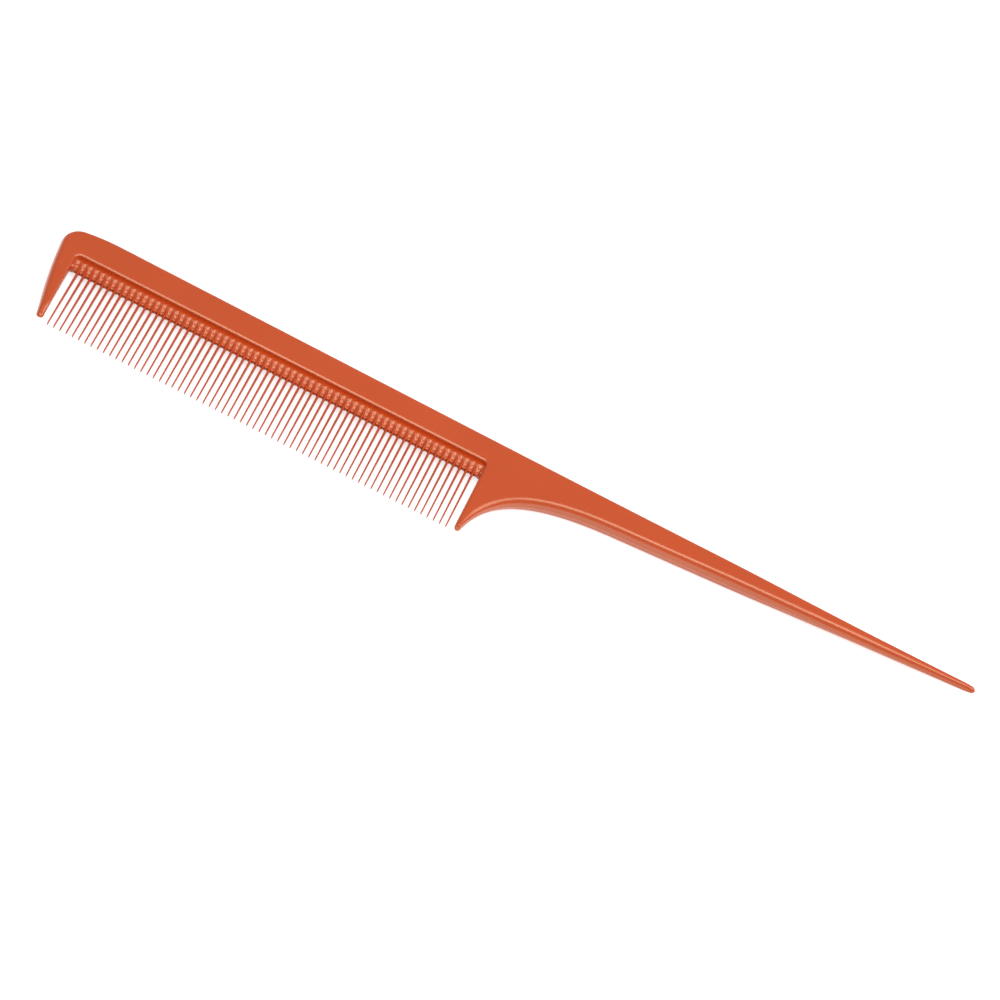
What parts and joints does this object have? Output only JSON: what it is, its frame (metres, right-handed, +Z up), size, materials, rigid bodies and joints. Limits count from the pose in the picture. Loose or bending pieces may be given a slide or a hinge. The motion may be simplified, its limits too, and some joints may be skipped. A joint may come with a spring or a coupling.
{
  "type": "rat tail comb",
  "caption": "Flat one-piece plastic tail comb with fine teeth in a recessed bed, a guard tooth at each end of the row and a long tapering tail with a rounded parting tip.",
  "frame": {"origin": "under the middle of the comb's bounding box, on the face that it lies on", "axes": "+X along the row of teeth towards the tail, +Y from the teeth to the back edge, +Z up out of the upper face"},
  "size_m": [0.205, 0.0256, 0.004],
  "materials": {
    "plastic": "glossy moulded plastic, orange-red, one colour throughout"
  },
  "bodies": {
    "root": {"spine": "plastic", "shoulder": "plastic", "front_guard_tooth": "plastic", "heel_guard_tooth": "plastic", "tail_grip": "plastic", "tail_point": "plastic", "fine_teeth_1": "plastic", "fine_teeth_2": "plastic", "fine_teeth_3": "plastic", "fine_teeth_4": "plastic", "fine_teeth_5": "plastic"}
  },
  "joints": []
}
